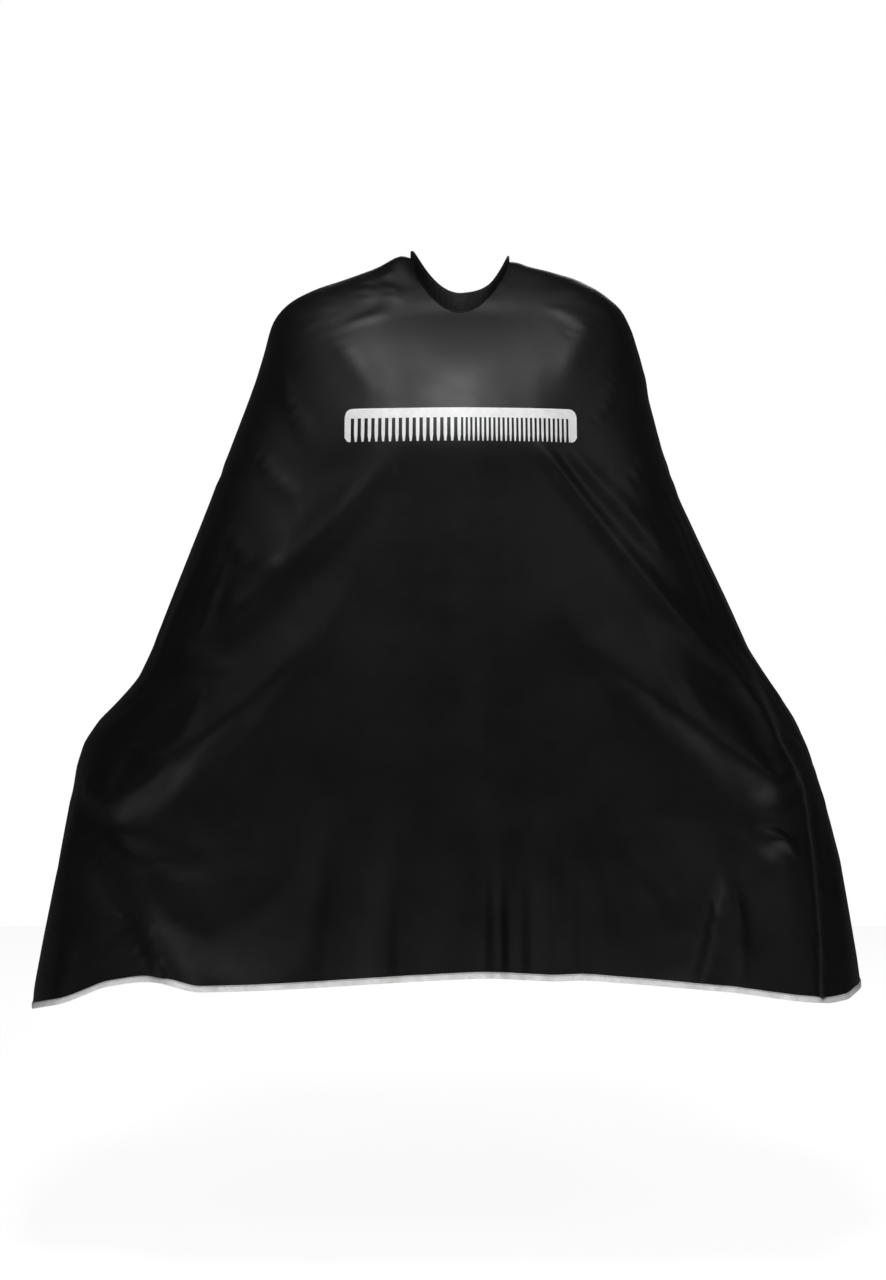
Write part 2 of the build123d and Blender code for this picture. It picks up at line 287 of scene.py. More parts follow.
def close_steps(outline):
    """An outline's x and z in small steps."""
    steps = np.linspace(0, len(outline) - 1, 12 * len(outline))
    return [np.interp(steps, np.arange(len(outline)), line) for line in zip(*outline)]


def shoulder_growth(points, here, outline):
    """How much each point moves away from the heart, by its turn from upright, to fill the outline."""
    x, z = seen(points)[:2]
    radius, turn = np.hypot(x, z - HEART), np.arctan2(np.abs(x), z - HEART)
    wanted_x, wanted_z = close_steps(outline)
    steps = np.radians(np.arange(9, 91, 1.5))
    reach = widest(turn, radius, here, steps)
    wanted = np.interp(steps, np.arctan2(wanted_x, wanted_z - HEART), np.hypot(wanted_x, wanted_z - HEART))
    ratio = 1 + (wanted / reach - 1) * ramp(np.degrees(steps), 10, 3)
    core = np.interp(np.degrees(turn), (20, 60), (0.82, 0.35))
    inner = ramp(radius / np.interp(turn, steps, reach), core, 0.95 - core)
    beside = ramp(np.abs(points[..., 1]), 0.045, -0.03)
    inner *= beside + (1 - beside) * ramp(np.degrees(turn), 22, 14)
    return 1 + (np.interp(turn, steps, ratio) - 1) * inner


def side_growth(points, here, outline):
    """How much each point moves sideways, by its height, to fill the outline."""
    x, z = seen(points)[:2]
    wanted_x, wanted_z = close_steps(outline)
    steps = np.arange(-1.0, HEART + 0.001, 0.012)
    reach = widest(z, np.abs(x), here, steps)
    ratio = np.interp(steps, wanted_z[::-1], wanted_x[::-1]) / reach
    above_hem = steps > outline[-1][1] + 0.02
    ratio[~above_hem] = ratio[above_hem][0]
    inner = ramp(np.abs(x) / np.interp(z, steps, reach), 0.35, 0.60)
    return 1 + (np.interp(z, steps, ratio) - 1) * inner


def outline_fitted(points):
    """Moves each side outwards or inwards until its outline stands where it is seen in the photo."""
    points = hem_fitted(points)
    x, z, scale = seen(points)
    above = z > HEART
    grow = np.ones_like(x)
    for side, outline in ((-1, LEFT_OUTLINE), (1, RIGHT_OUTLINE)):
        here = side * x > 0
        grow = np.where(here & above, shoulder_growth(points, here, outline), grow)
        grow = np.where(here & ~above, side_growth(points, here, outline), grow)
    grow = 1 + (grow - 1) * ramp(DOWN, 0, 0.03)
    points = points.copy()
    points[..., 0] = EYE.x + (x * grow - EYE.x) / scale
    points[..., 2] = np.where(above, EYE.z + (HEART + (z - HEART) * grow - EYE.z) / scale, points[..., 2])
    return points


def chest_shape(points):
    """Fuller in the middle of the chest, where the print stands, and hollow towards both arms."""
    x, z = seen(points)[:2]
    shelf = 0.007 * np.exp(-(((z + 0.205) / 0.045) ** 2) - (x / 0.17) ** 4)
    dome = 0.014 * bell(x, 0, 0.10) * ramp(z, -0.03, -0.12) * ramp(z, -0.42, 0.24)
    edge = np.interp(z, (-0.25, -0.02), (0.080, 0.120)) + np.where(x < 0, 0.025, 0)
    hollow = 0.017 * ramp(np.abs(x) - edge, 0, 0.14) * (1 - ramp(np.abs(x) - edge, 0.11, 0.15))
    hollow *= ramp(z, 0.01, -0.12) * ramp(z, -0.52, 0.36)
    return (hollow - shelf - dome) * ramp(points[..., 1], 0.03, -0.06)


def set_back(points):
    """The cloth beyond the edge of the front drape hangs further back, on both sides."""
    x, z = seen(points)[:2]
    edge_z = (-0.99, -0.76, -0.68, -0.60, -0.54, -0.48)
    past_right = x - np.interp(z, edge_z, (0.464, 0.464, 0.458, 0.432, 0.405, 0.375))
    edge_z = (-0.99, -0.94, -0.864, -0.79, -0.72)
    past_left = np.interp(z, edge_z, (-0.378, -0.388, -0.420, -0.466, -0.520)) - x
    right = 0.075 * ramp(past_right, -0.004, 0.014) * ramp(z, -0.50, -0.14)
    left = 0.034 * ramp(past_left, -0.006, 0.020) * ramp(z, -0.73, -0.14)
    right -= 0.020 * ramp(past_right, -0.075, 0.085) * ramp(z, -0.60, -0.14)
    left -= 0.010 * ramp(past_left, -0.080, 0.085) * ramp(z, -0.75, -0.12)
    return (right + left) * ramp(points[..., 1], 0.13, -0.17)


ANGLES = even_angles()
DOWN = np.repeat(np.arange(ROWS + 1)[None] / ROWS, COLUMNS + 1, 0)
TURN = np.repeat(ANGLES[:, None], ROWS + 1, 1)
BASE = outline_fitted(outline_fitted(read_form()))
BASE[..., 1] += chest_shape(BASE)
NORMAL = outward_normals(BASE)
X, Y, Z = np.moveaxis(BASE, 2, 0)
SEEN_X, SEEN_Z = seen(BASE)[:2]
IN_FRONT = ramp(Y, 0.03, -0.06)
BACK_FLAT = ramp(np.abs(X), 0.17, -0.05) * ramp(Y, 0.03, 0.03)
HALF_AT = np.interp(DOWN, DOWN[0], np.abs(BASE[..., 0]).max(0))

# ---- folds ------------------------------------------------
# A fold runs through places (x, z) on the outlines' plane. It falls off over its upper width above that
# line and over its lower width below it, stands out or in by its height, and fades in and out over two
# shares of its length.
LONG_FOLDS = (
    # from the chest to the right-hand side of the picture
    (((0.095, -0.205), (0.245, -0.374), (0.326, -0.456), (0.422, -0.565), (0.46, -0.66)),
     (0.013, 0.012), 0.009, (0.1, 0.15)),
    (((0.136, -0.211), (0.258, -0.333), (0.381, -0.456), (0.43, -0.53)), (0.016, 0.012), 0.006, (0.15, 0.15)),
    (((0.102, -0.374), (0.190, -0.483), (0.290, -0.550), (0.381, -0.619), (0.456, -0.69)),
     (0.055, 0.022), 0.020, (0.8, 0.08)),
    # and to the left-hand side
    (((-0.082, -0.215), (-0.177, -0.320), (-0.313, -0.429), (-0.422, -0.530)),
     (0.032, 0.024), 0.013, (0.3, 0.15)),
    (((-0.117, -0.347), (-0.218, -0.483), (-0.350, -0.588), (-0.505, -0.712)),
     (0.055, 0.024), 0.020, (0.8, 0.06)),
    (((-0.519, -0.725), (-0.435, -0.769), (-0.326, -0.796)), (0.013, 0.014), 0.006, (0.06, 0.5)),
    # creases over both shoulders
    (((-0.092, 0.030), (-0.101, 0.010), (-0.092, -0.012), (-0.074, -0.028)),
     (0.006, 0.006), 0.0026, (0.3, 0.4)),
    (((-0.122, 0.018), (-0.130, -0.004), (-0.114, -0.026)), (0.007, 0.007), 0.0025, (0.3, 0.4)),
    (((-0.165, -0.056), (-0.125, -0.045), (-0.085, -0.034)), (0.007, 0.006), 0.0015, (0.4, 0.4)),
    (((-0.190, -0.048), (-0.140, -0.110), (-0.092, -0.175)), (0.020, 0.016), 0.0035, (0.4, 0.4)),
    (((0.190, -0.021), (0.160, -0.090), (0.130, -0.160)), (0.018, 0.016), 0.0035, (0.4, 0.4)),
    (((0.110, -0.030), (0.150, -0.040), (0.185, -0.070)), (0.010, 0.008), 0.002, (0.4, 0.4)),
)
ARM_CREASES = (  # height, upper width and places
    (0.0030, 0.009, ((-0.250, -0.090), (-0.232, -0.160), (-0.190, -0.235))),
    (0.0028, 0.008, ((-0.292, -0.200), (-0.255, -0.262), (-0.205, -0.300))),
    (0.0035, 0.009, ((-0.338, -0.320), (-0.300, -0.362), (-0.235, -0.390))),
    (0.0028, 0.007, ((-0.372, -0.400), (-0.330, -0.425), (-0.270, -0.432))),
    (0.0035, 0.008, ((-0.420, -0.510), (-0.372, -0.505), (-0.300, -0.520))),
    (0.0030, 0.008, ((-0.485, -0.610), (-0.440, -0.632), (-0.385, -0.636))),
    (0.0024, 0.008, ((0.222, -0.100), (0.198, -0.165), (0.160, -0.205))),
    (0.0030, 0.007, ((0.262, -0.215), (0.238, -0.262), (0.200, -0.292))),
    (0.0045, 0.009, ((0.275, -0.270), (0.330, -0.385), (0.372, -0.465))),
    (0.0040, 0.008, ((0.312, -0.330), (0.368, -0.440), (0.410, -0.520))),
    (0.0030, 0.007, ((0.415, -0.545), (0.380, -0.540), (0.330, -0.515))),
)
LOW_FOLDS = (
    # pressed lines, left from how the cape was folded away
    (((0.075, -0.235), (0.079, -0.410), (0.081, -0.585)), (0.004, 0.004), 0.0008, (0.2, 0.2)),
    (((-0.100, -0.589), (0.060, -0.586), (0.200, -0.588)), (0.004, 0.004), 0.0008, (0.2, 0.2)),
    # the left corner turns forward along a deep fold from hand to hem
    (((-0.519, -0.715), (-0.470, -0.790), (-0.425, -0.864), (-0.392, -0.97)),
     (0.020, 0.018), -0.006, (0.1, 0.0)),
    (((-0.500, -0.715), (-0.440, -0.790), (-0.393, -0.864), (-0.362, -0.97)),
     (0.024, 0.020), 0.007, (0.3, 0.0)),
    # the right edge of the drape, with the cloth behind it set back
    (((0.440, -0.655), (0.444, -0.78), (0.446, -0.99)), (0.022, 0.022), 0.006, (0.25, 0.0)),
    (((0.458, -0.738), (0.440, -0.745), (0.412, -0.757)), (0.008, 0.012), 0.010, (0.2, 0.4)),
    (((0.455, -0.726), (0.432, -0.733), (0.410, -0.739)), (0.007, 0.006), -0.005, (0.2, 0.4)),
    (((0.385, -0.80), (0.376, -0.87), (0.366, -0.97)), (0.012, 0.011), -0.012, (0.3, 0.0)),
    (((0.392, -0.80), (0.395, -0.87), (0.400, -0.97)), (0.012, 0.012), 0.010, (0.3, 0.0)),
)
PLEATS = (  # soft pleats near the hem: x, height and width
    (-0.218, -0.005, 0.018), (-0.19, 0.004, 0.022), (-0.12, -0.003, 0.020), (0.056, -0.003, 0.016),
    (0.085, 0.002, 0.022), (0.198, -0.004, 0.016), (0.23, 0.003, 0.020), (0.282, -0.004, 0.016),
)
ARM_FOLDS = ((1.75, 0.016), (2.02, -0.020), (2.25, 0.018), (2.45, -0.014))  # angle and height


def fold(places, widths, height, fade):
    """How far one fold moves each point out of the form."""
    lengths = [math.dist(p, q) for p, q in zip(places, places[1:])]
    nearest, along, run = np.full_like(X, 9.0), np.zeros_like(X), 0.0
    above = np.zeros(X.shape, bool)
    for (px, pz), (qx, qz), length in zip(places, places[1:], lengths):
        dx, dz = qx - px, qz - pz
        share = np.clip(((SEEN_X - px) * dx + (SEEN_Z - pz) * dz) / length**2, 0, 1)
        off_x, off_z = SEEN_X - px - share * dx, SEEN_Z - pz - share * dz
        distance = np.hypot(off_x, off_z)
        closer = distance < nearest
        nearest = np.where(closer, distance, nearest)
        along = np.where(closer, (run + share * length) / sum(lengths), along)
        turned = dx * off_z - dz * off_x
        above = np.where(closer, turned > 0 if dx > 0 else turned < 0, above)
        run += length
    width = np.where(above, *widths) * (0.6 + 0.8 * along)
    ends = ramp(along, 0, max(fade[0], 1e-3)) * ramp(1 - along, 0, max(fade[1], 1e-3))
    return height * np.exp(-((nearest / width) ** 2)) * ends * IN_FRONT


def arm_fold(side, number, angle, height):
    """A fold that hangs from an arm, at the side or behind."""
    across = (TURN - side * (angle + 0.05 * side)) / (0.085 + 0.01 * number)
    spread = ramp((0.25 - np.abs(np.abs(TURN) - 2.1)) / 0.1 + 0.6, 0, 1)
    return height * np.exp(-(across**2)) * ramp(DOWN, 0.35, 0.5) * spread


def seeded_folds():
    """All folds together, none of them on the flat of the back."""
    out = np.zeros_like(X)
    for long_fold in LONG_FOLDS:
        out += fold(*long_fold)
    for height, width, places in ARM_CREASES:
        out += fold(places, (width, 0.8 * width), height, (0.35, 0.4))
    for low_fold in LOW_FOLDS:
        out += fold(*low_fold)
    for x, height, width in PLEATS:
        out += fold([(0.95 * x, -0.76), (x, -0.85), (1.01 * x, -0.97)], (width, width), height, (0.5, 0))
    for number, (angle, height) in enumerate(ARM_FOLDS):
        for side in (-1, 1):
            out += arm_fold(side, number, angle, height)
    return out * (1 - BACK_FLAT)


# ---- cloth simulation -------------------------------------
HANDS = ((-0.475, -0.62), (0.455, -0.66))
FRAMES = 18  # steps of the simulation
SLOW_ROUNDS = 60  # smoothing that parts the simulation's large movements from its small ones
TAKEN = 0.75  # share of them that is taken over
CORNER_ROUNDS = 60
SETTINGS = {
    "quality": 5, "mass": 0.12, "air_damping": 3.0, "tension_stiffness": 30, "compression_stiffness": 30,
    "shear_stiffness": 12, "bending_stiffness": 0.35, "tension_damping": 12, "compression_damping": 12,
    "shear_damping": 10, "bending_damping": 0.6,
}


def wearer_mesh():
    """A plain body under the cape: the form drawn in, close to the cloth where shoulders and arms hold it."""
    low_chest = 1 - ramp(Z, -0.75, 0.60)
    arm = ramp(np.abs(X) / HALF_AT, 0.80, 0.12) * ramp(Z, -0.76, 0.06)
    inset = np.full_like(X, 0.006)
    inset += 0.045 * IN_FRONT * low_chest * (1 - arm)
    inset += 0.05 * (1 - IN_FRONT) * (1 - BACK_FLAT) * (1 - arm) * ramp(Z, -0.15, -0.15)
    for hand_x, hand_z in HANDS:
        inset -= 0.016 * np.exp(-((X - hand_x) ** 2 + (Z - hand_z) ** 2) / 0.05**2)
    inset += 0.10 * ramp(Z, -0.70, -0.16)
    points = (BASE - NORMAL * np.minimum(inset, 0.12)[..., None])[::2, ::2]
    body = new_object("wearer", points, grid_faces(*points.shape[:2]))
    probe = max(body.data.polygons, key=lambda face: -face.center.y)
    if probe.normal.y > 0:
        body.data.flip_normals()
    body.modifiers.new("Collision", "COLLISION")
    body.collision.thickness_outer = 0.003
    body.collision.thickness_inner = 0.04
    body.collision.cloth_friction = 5.0
    body.collision.damping = 0.6
    return body


def loose_rest(start):
    """The cloth's own size: a little more cloth than the form needs, most of it low down and at the sides."""
    low = ramp(Z, -0.45, -0.40)
    extra = (0.004 + 0.022 * low) * IN_FRONT + (0.02 + 0.05 * ramp(DOWN, 0.35, 0.5)) * (1 - IN_FRONT)
    extra *= 1 - BACK_FLAT
    rest = start.copy()
    rest[..., 0] *= 1 + extra * (0.4 + 0.1 * IN_FRONT)
    rest[..., 1] *= 1 + 0.8 * extra
    rest[..., 2] *= 1.004
    loose = ramp(DOWN, 0.02, 0.1)[..., None]
    return start * (1 - loose) + rest * loose


def simulate(start):
    """Hangs the cloth, held at the neck, over the wearer. Returns the same grid of points."""
    body = wearer_mesh()
    faces = grid_faces(COLUMNS, ROWS + 1, closed=True)
    sheet = new_object("sheet", start[:-1], faces)
    sheet.shape_key_add(name="Basis")
    rest = sheet.shape_key_add(name="rest")
    rest.data.foreach_set("co", loose_rest(start)[:-1].reshape(-1).astype(np.float32))
    held = sheet.vertex_groups.new(name="held")
    held.add([c * (ROWS + 1) + r for c in range(COLUMNS) for r in (0, 1)], 1.0, "REPLACE")
    cloth = sheet.modifiers.new("Cloth", "CLOTH")
    for name, value in SETTINGS.items():
        setattr(cloth.settings, name, value)
    cloth.settings.vertex_group_mass = "held"
    cloth.settings.rest_shape_key = rest
    cloth.collision_settings.collision_quality = 2
    cloth.collision_settings.distance_min = 0.003
    cloth.point_cache.frame_start, cloth.point_cache.frame_end = 1, FRAMES
    scene = bpy.context.scene
    scene.frame_start, scene.frame_end = 1, FRAMES
    for number in range(1, FRAMES + 1):
        scene.frame_set(number)
    result = sheet.evaluated_get(bpy.context.evaluated_depsgraph_get())
    points = np.zeros(COLUMNS * (ROWS + 1) * 3, np.float32)
    result.data.vertices.foreach_get("co", points)
    scene.frame_set(1)
    for helper in (sheet, body):
        bpy.data.objects.remove(helper)
    points = points.reshape(COLUMNS, ROWS + 1, 3).astype(float)
    return np.concatenate([points, points[:1]])


def blurred(field, times):
    """Smooths a grid of values, wrapping round at the slit and keeping the neck row."""
    field = field.copy()
    for _ in range(times):
        wrapped = np.concatenate([field[-2:-1], field, field[1:2]])
        field = field + 0.5 * ((wrapped[:-2] + wrapped[2:]) / 2 - field)
        inner = (field[:, :-2] + field[:, 2:]) / 2
        field[:, 1:-1] += 0.5 * (inner - field[:, 1:-1])
        field[:, -1] += 0.5 * (field[:, -2] - field[:, -1])
    return field


def draped():
    """The form with its folds, moved as the simulation moves it: fully low down, hardly over the chest."""
    start = BASE + NORMAL * seeded_folds()[..., None]
    moved = simulate(start) - start
    slow = blurred(moved, SLOW_ROUNDS)
    quick = moved - slow
    chest = ramp(np.abs(X), 0.19, -0.10) * ramp(Z, -0.34, 0.14) * IN_FRONT
    centre = ramp(np.abs(X), 0.26, -0.16) * IN_FRONT
    upper = ramp(Z, -0.85, 0.20) * IN_FRONT
    corner = ramp(SEEN_X, 0.40, 0.04) * ramp(SEEN_Z, -0.6, -0.1) * IN_FRONT
    fine = TAKEN * (1 - 0.6 * upper) * (1 - 0.95 * chest) * (1 - 0.75 * centre * upper)
    fine *= 1 - 0.85 * BACK_FLAT
    fine *= 1 - 0.7 * corner
    coarse = TAKEN * (1 - BACK_FLAT) * (1 - chest)
    return start + slow * coarse[..., None] + quick * fine[..., None]


def calm_corners(points):
    """Takes the small folds out of the hem where it turns from front to side."""
    points = points.copy()
    weight = 0.5 * ramp(DOWN, 0.80, 0.15) * ramp(np.abs(points[..., 0]), 0.48, 0.04)
    for _ in range(CORNER_ROUNDS):
        middle = (points[:-2] + points[2:]) / 2
        points[1:-1] += weight[1:-1, :, None] * (middle - points[1:-1])
    return points


CLOTH = draped()
CLOTH[..., 1] += set_back(CLOTH)
CLOTH = outline_fitted(calm_corners(CLOTH))
# the cloth stands up against the band at both sides of the neck
NECK_LIFT = np.where(ANGLES < 0, 0.010, 0.005) * bell(np.abs(ANGLES), 1.50, 0.24)
CLOTH[..., 2] += NECK_LIFT[:, None] * (1 - ramp(DOWN, 0, 0.03))

# ---- materials --------------------------------------------


class Look:
    """A procedural material, built up node by node."""

    def __init__(self, name, color, roughness, metallic=0.0, sheen=0.0, specular=0.5):
        self.material = bpy.data.materials.new(name)
        self.material.use_nodes = True
        self.tree = self.material.node_tree
        self.shader = self.tree.nodes["Principled BSDF"]
        self.height = None
        self.set("Base Color", (*color, 1))
        self.set("Roughness", roughness)
        self.set("Metallic", metallic)
        self.set("Sheen Weight", sheen)
        self.set("Sheen Roughness", 0.35)
        self.set("Specular IOR Level", specular)
        self.place = self.node("ShaderNodeTexCoord").outputs["Object"]

    def node(self, kind, **values):
        made = self.tree.nodes.new(kind)
        for key, value in values.items():
            if key in made.inputs:
                made.inputs[key].default_value = value
            else:
                setattr(made, key, value)
        return made

    def link(self, source, target):
        self.tree.links.new(source, target)

    def set(self, name, value):
        self.shader.inputs[name].default_value = value

    def noise(self, scale, detail=3.0, stretch=(1, 1, 1)):
        scaled = self.node("ShaderNodeMapping", Scale=stretch)
        self.link(self.place, scaled.inputs["Vector"])
        texture = self.node("ShaderNodeTexNoise", Scale=scale, Detail=detail, Roughness=0.55)
        self.link(scaled.outputs["Vector"], texture.inputs["Vector"])
        return texture.outputs["Fac"]

    def threads(self, pitch, direction):
        """Parallel threads, pitch metres apart."""
        texture = self.node("ShaderNodeTexWave", Scale=0.314 / pitch, Distortion=0.4)
        texture.bands_direction = direction
        self.link(self.place, texture.inputs["Vector"])
        return texture.outputs["Fac"]

    def math(self, operation, first, second):
        made = self.node("ShaderNodeMath", operation=operation)
        for socket, value in zip(made.inputs, (first, second)):
            if isinstance(value, (int, float)):
                socket.default_value = value
            else:
                self.link(value, socket)
        return made.outputs[0]

    def vary(self, name, field, low, high):
        """Drives a number of the shader between low and high."""
        limits = {"From Min": 0.3, "From Max": 0.7, "To Min": low, "To Max": high}
        ranged = self.node("ShaderNodeMapRange", **limits)
        self.link(field, ranged.inputs["Value"])
        self.link(ranged.outputs["Result"], self.shader.inputs[name])

    def tint(self, field, low, high):
        """Lets the colour vary between low and high."""
        colors = self.node("ShaderNodeValToRGB")
        for end, position, color in zip(colors.color_ramp.elements, (0.3, 0.7), (low, high)):
            end.position, end.color = position, (*color, 1)
        self.link(field, colors.inputs["Fac"])
        self.link(colors.outputs["Color"], self.shader.inputs["Base Color"])

    def bump(self, field, depth, strength=1.0):
        """Adds relief, depth metres high."""
        made = self.node("ShaderNodeBump", Strength=strength, Distance=depth)
        self.link(field, made.inputs["Height"])
        if self.height is not None:
            self.link(self.height, made.inputs["Normal"])
        self.height = made.outputs["Normal"]
        self.link(self.height, self.shader.inputs["Normal"])


def woven(name, color, roughness, sheen, pitch, relief, creases=0.0, specular=0.5):
    """Cloth of threads pitch metres apart, with fine slubs, soft creases and a slightly uneven colour."""
    look = Look(name, color, roughness, sheen=sheen, specular=specular)
    threads = [look.threads(pitch, direction) for direction in "XYZ"]
    look.bump(look.math("MAXIMUM", look.math("MAXIMUM", *threads[:2]), threads[2]), relief, 0.35)
    look.bump(look.noise(380, 2), 1.5 * relief, 0.5)
    if creases:
        look.bump(look.noise(30, 4), creases, 0.4)
    light, dark = [min(1, c * 1.25) for c in color], [c * 0.8 for c in color]
    look.tint(look.noise(60, 5), dark, light)
    look.vary("Roughness", look.noise(14, 3), roughness - 0.05, roughness + 0.06)
    return look.material


BLACK = (0.0030, 0.0030, 0.0033)
SATIN = woven("satin_cloth", BLACK, 0.46, 0.010, 0.0005, 0.00008, 0.0008, specular=0.27)
LINING = woven("lining_cloth", (0.010, 0.010, 0.011), 0.5, 0.06, 0.0006, 0.00008, 0.0002)
TAPE = woven("binding_tape", (0.92, 0.92, 0.91), 0.55, 0.3, 0.0007, 0.00012, 0.0002)
INTERLINING = woven("interlining_felt", (0.6, 0.59, 0.56), 0.9, 0.2, 0.0009, 0.0001)
WEBBING = woven("webbing", (0.014, 0.014, 0.015), 0.6, 0.15, 0.0011, 0.0003)
LABEL = woven("label_ribbon", (0.75, 0.73, 0.69), 0.5, 0.3, 0.0005, 0.00006, 0.0002)
THREAD_BLACK = woven("thread_black", (0.02, 0.02, 0.021), 0.5, 0.3, 0.0004, 0.00008)
THREAD_GREY = woven("thread_grey", (0.33, 0.33, 0.33), 0.55, 0.3, 0.0004, 0.00008)


def print_film():
    look = Look("print_film", (0.86, 0.86, 0.86), 0.5)
    look.tint(look.noise(90, 4), (0.78, 0.78, 0.78), (0.90, 0.90, 0.90))
    look.bump(look.noise(700, 3), 0.00008, 0.4)
    return look.material


def metal(name, color, roughness, scratches):
    look = Look(name, color, roughness, metallic=1.0)
    look.vary("Roughness", look.noise(900, 4, (1, 6, 1)), roughness, roughness + 0.18)
    look.bump(look.noise(1400, 3, (1, 8, 1)), scratches, 0.3)
    return look.material


def enamel():
    look = Look("cap_enamel", (0.012, 0.012, 0.014), 0.22)
    look.set("Coat Weight", 0.6)
    look.set("Coat Roughness", 0.08)
    look.vary("Roughness", look.noise(500, 3), 0.16, 0.30)
    look.bump(look.noise(1600, 2), 0.00002, 0.5)
    return look.material


PRINT = print_film()
PLATED = metal("plated_metal", (0.72, 0.72, 0.74), 0.18, 0.00001)
SPRING = metal("spring_wire", (0.55, 0.55, 0.57), 0.28, 0.00002)
ENAMEL = enamel()

# ---- swept strips -----------------------------------------


def sweep(name, stations, material, loop=False):
    """A closed tube through stations, each the same number of points round a cross-section."""
    stations = np.asarray(stations, float)
    count, around = stations.shape[:2]
    index = np.arange(count * around).reshape(count, around)
    if loop:
        index = np.concatenate([index, index[:1]])
    ahead = np.roll(index, -1, axis=1)
    faces = np.stack([index[:-1], ahead[:-1], ahead[1:], index[1:]], -1).reshape(-1, 4).tolist()
    if not loop:
        faces += [index[0][::-1].tolist(), index[-1].tolist()]
    obj = new_object(name, stations, faces, material)
    mesh = obj.data
    work = bmesh.new()
    work.from_mesh(mesh)
    bmesh.ops.recalc_face_normals(work, faces=work.faces)
    caps = [face for face in work.faces if len(face.verts) > 4]
    for edge in {edge for cap in caps for edge in cap.edges}:
        edge.smooth = False
    work.to_mesh(mesh)
    work.free()
    return obj


STITCH_SHAPE = ((0, 0.35), (0.25, 1), (0.75, 1), (1, 0.35))  # size at shares of a stitch's length


def stitches(name, path, normals, material, pitch=0.0032, length=0.0024, thick=0.00035):
    """A row of short six-sided threads along a path of points, each thinner at both ends."""
    path, normals = np.asarray(path, float), np.asarray(normals, float)
    steps = np.linalg.norm(np.diff(path, axis=0), axis=1)
    run = np.concatenate([[0], np.cumsum(steps)])
    verts, faces = [], []
    for start in np.arange(pitch / 2, run[-1] - length, pitch):
        ends = [np.array([np.interp(start + d, run, path[:, k]) for k in range(3)]) for d in (0, length)]
        up = np.array([np.interp(start, run, normals[:, k]) for k in range(3)])
        up /= np.linalg.norm(up)
        along = (ends[1] - ends[0]) / np.linalg.norm(ends[1] - ends[0])
        across = np.cross(along, up)
        first = len(verts)
        for share, size in STITCH_SHAPE:
            centre = ends[0] + share * (ends[1] - ends[0]) + up * thick * (1.2 * size - 0.6)
            for turn in np.arange(6) * math.pi / 3:
                verts.append(centre + size * thick * (math.cos(turn) * across + 0.8 * math.sin(turn) * up))
        for ring in range(3):
            for k in range(6):
                a, b = first + ring * 6 + k, first + ring * 6 + (k + 1) % 6
                faces.append((a, b, b + 6, a + 6))
        faces.append(tuple(range(first + 5, first - 1, -1)))
        faces.append(tuple(range(first + 18, first + 24)))
    return new_object(name, verts, faces, material)


# ---- the cloth pieces -------------------------------------
THICK = 0.0008
SLIT_HALF = 0.0016
SLIT_FADE = 0.02  # distance from the slit over which the cloth makes room for it


def finer(points):
    """Twice as many columns and rows, on a smooth curve through the grid."""

    def split(p, wrap):
        before = np.concatenate([p[-2:-1], p[:-1]]) if wrap else np.concatenate([p[:1], p[:-1]])
        after = np.concatenate([p[1:], p[1:2]]) if wrap else np.concatenate([p[1:], p[-1:]])
        kept = (before + 6 * p + after) / 8
        if not wrap:
            kept[0], kept[-1] = p[0], p[-1]
        out = np.empty((2 * len(p) - 1, *p.shape[1:]))
        out[::2] = kept
        out[1::2] = (p[:-1] + p[1:]) / 2
        return out

    points = split(points, True)
    return split(points.swapaxes(0, 1), False).swapaxes(0, 1)


FINE = finer(CLOTH)
FINE_NORMAL = outward_normals(FINE)
FINE_ANGLES = np.interp(np.arange(2 * COLUMNS + 1) / 2, np.arange(COLUMNS + 1), ANGLES)
MIDDLE = COLUMNS  # the fine column at the centre of the front
SIDE = int(np.argmin(np.abs(FINE_ANGLES - math.pi / 2))) - MIDDLE
LAST = 2 * COLUMNS
SPANS = {"front": (MIDDLE - SIDE, MIDDLE + SIDE), "left": (0, MIDDLE - SIDE), "right": (MIDDLE + SIDE, LAST)}
for side, edge in ((-1, slice(0, 12)), (1, slice(LAST - 11, LAST + 1))):
    reach = np.abs(FINE[edge, :, 0])
    FINE[edge, :, 0] = side * (reach + SLIT_HALF * np.exp(-reach / SLIT_FADE))


def joint_named(name):
    return next(joint for joint in frame["joints"] if joint["name"] == name)


def bend_at_fold(obj, part):
    """Looks up the flap's fold joint and bakes the piece's placement into its mesh."""
    joint = joint_named(part + "_flap_swing")
    axis, out = Vector(joint["axis"]), Vector((-1 if part == "left" else 1, 0, 0))
    out = (out - out.dot(axis) * axis).normalized()
    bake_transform(obj)


def settle(obj, slot, place, *nodes):
    """Hides the CAD nodes a piece stands for and gives it its place: left and right back pieces keep their
    baked position, others hang from a body. The slot is not used.
    """
    if nodes:
        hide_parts(*nodes)
    if place in ("left", "right"):
        bend_at_fold(obj, place)
    else:
        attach(obj, "cape" if place == "front" else place)


